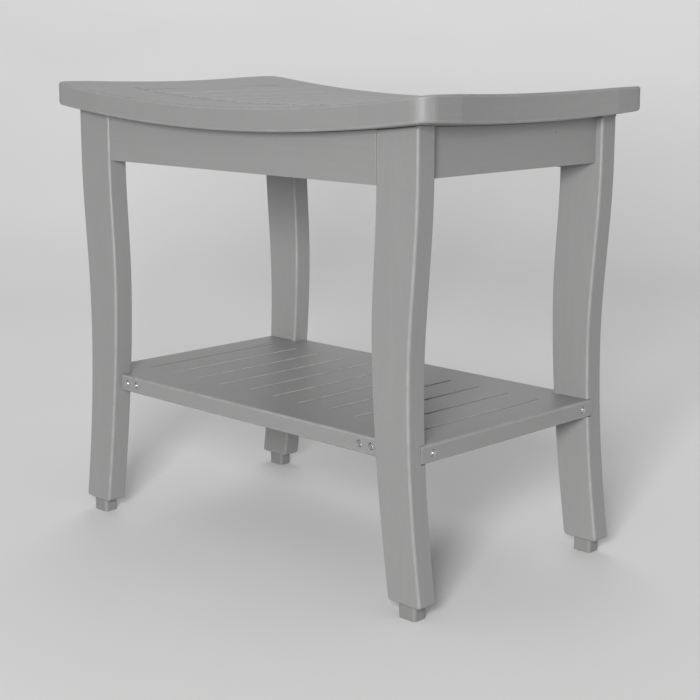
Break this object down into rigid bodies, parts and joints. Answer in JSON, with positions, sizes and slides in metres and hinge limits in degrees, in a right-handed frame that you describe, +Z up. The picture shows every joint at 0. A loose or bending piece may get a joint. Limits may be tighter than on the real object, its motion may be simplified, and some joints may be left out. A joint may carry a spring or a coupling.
{
  "type": "bath bench",
  "caption": "Wooden bath bench with a saddle-shaped slatted seat, bowed legs that flare at the foot, a slatted lower shelf and screw-adjusted levelling feet.",
  "frame": {"origin": "on the floor, under the middle of the seat, with the levelling feet screwed fully in", "axes": "+X along the seat to the sitter's side, +Y across it towards the back, +Z up"},
  "size_m": [0.5144, 0.3136, 0.4576],
  "materials": {
    "wood": "satin grey stain over fine grain",
    "rubber": "matte",
    "steel": "satin stainless",
    "brass": "turned"
  },
  "bodies": {
    "bench": {"apron_back": "wood", "apron_front": "wood", "apron_left": "wood", "apron_right": "wood", "leg_back_left": "wood", "leg_back_right": "wood", "leg_front_left": "wood", "leg_front_right": "wood", "leg_insert_back_left": "brass", "leg_insert_back_right": "brass", "leg_insert_front_left": "brass", "leg_insert_front_right": "brass", "seat_back_rail": "wood", "seat_front_rail": "wood", "seat_left_end_board": "wood", "seat_right_end_board": "wood", "seat_slat_01": "wood", "seat_slat_02": "wood", "seat_slat_03": "wood", "seat_slat_04": "wood", "seat_slat_05": "wood", "seat_slat_06": "wood", "seat_slat_07": "wood", "seat_slat_08": "wood", "seat_slat_09": "wood", "seat_slat_10": "wood", "shelf_back_rail": "wood", "shelf_front_rail": "wood", "shelf_left_end_board": "wood", "shelf_right_end_board": "wood", "shelf_screw_back_left_inner": "steel", "shelf_screw_back_left_outer": "steel", "shelf_screw_back_left_side": "steel", "shelf_screw_back_right_inner": "steel", "shelf_screw_back_right_outer": "steel", "shelf_screw_back_right_side": "steel", "shelf_screw_front_left_inner": "steel", "shelf_screw_front_left_outer": "steel", "shelf_screw_front_left_side": "steel", "shelf_screw_front_right_inner": "steel", "shelf_screw_front_right_outer": "steel", "shelf_screw_front_right_side": "steel", "shelf_slat_01": "wood", "shelf_slat_02": "wood", "shelf_slat_03": "wood", "shelf_slat_04": "wood", "shelf_slat_05": "wood", "shelf_slat_06": "wood", "shelf_slat_07": "wood", "shelf_slat_08": "wood", "shelf_slat_09": "wood", "shelf_slat_10": "wood"},
    "pad_front_left": {"foot_pad_front_left": "rubber"},
    "stud_front_left": {"foot_stud_front_left": "steel"},
    "pad_front_right": {"foot_pad_front_right": "rubber"},
    "stud_front_right": {"foot_stud_front_right": "steel"},
    "pad_back_left": {"foot_pad_back_left": "rubber"},
    "stud_back_left": {"foot_stud_back_left": "steel"},
    "pad_back_right": {"foot_pad_back_right": "rubber"},
    "stud_back_right": {"foot_stud_back_right": "steel"}
  },
  "joints": [
    {"name": "foot_front_left_drop", "type": "slide", "parent": "bench", "child": "pad_front_left", "axis": [0, 0, -1], "range_m": [0, 0.01]},
    {"name": "foot_front_left_screw", "type": "hinge", "parent": "pad_front_left", "child": "stud_front_left", "pos_m": [-0.2236, -0.129, 0], "axis": [0, 0, -1], "range_deg": [0, 2880]},
    {"name": "foot_front_right_drop", "type": "slide", "parent": "bench", "child": "pad_front_right", "axis": [0, 0, -1], "range_m": [0, 0.01]},
    {"name": "foot_front_right_screw", "type": "hinge", "parent": "pad_front_right", "child": "stud_front_right", "pos_m": [0.2236, -0.129, 0], "axis": [0, 0, -1], "range_deg": [0, 2880]},
    {"name": "foot_back_left_drop", "type": "slide", "parent": "bench", "child": "pad_back_left", "axis": [0, 0, -1], "range_m": [0, 0.01]},
    {"name": "foot_back_left_screw", "type": "hinge", "parent": "pad_back_left", "child": "stud_back_left", "pos_m": [-0.2236, 0.129, 0], "axis": [0, 0, -1], "range_deg": [0, 2880]},
    {"name": "foot_back_right_drop", "type": "slide", "parent": "bench", "child": "pad_back_right", "axis": [0, 0, -1], "range_m": [0, 0.01]},
    {"name": "foot_back_right_screw", "type": "hinge", "parent": "pad_back_right", "child": "stud_back_right", "pos_m": [0.2236, 0.129, 0], "axis": [0, 0, -1], "range_deg": [0, 2880]}
  ],
  "couplings": [
    {"joint": "foot_front_left_screw", "follows": "foot_front_left_drop", "rad_per_m": 5026.5},
    {"joint": "foot_front_right_screw", "follows": "foot_front_right_drop", "rad_per_m": 5026.5},
    {"joint": "foot_back_left_screw", "follows": "foot_back_left_drop", "rad_per_m": 5026.5},
    {"joint": "foot_back_right_screw", "follows": "foot_back_right_drop", "rad_per_m": 5026.5}
  ]
}
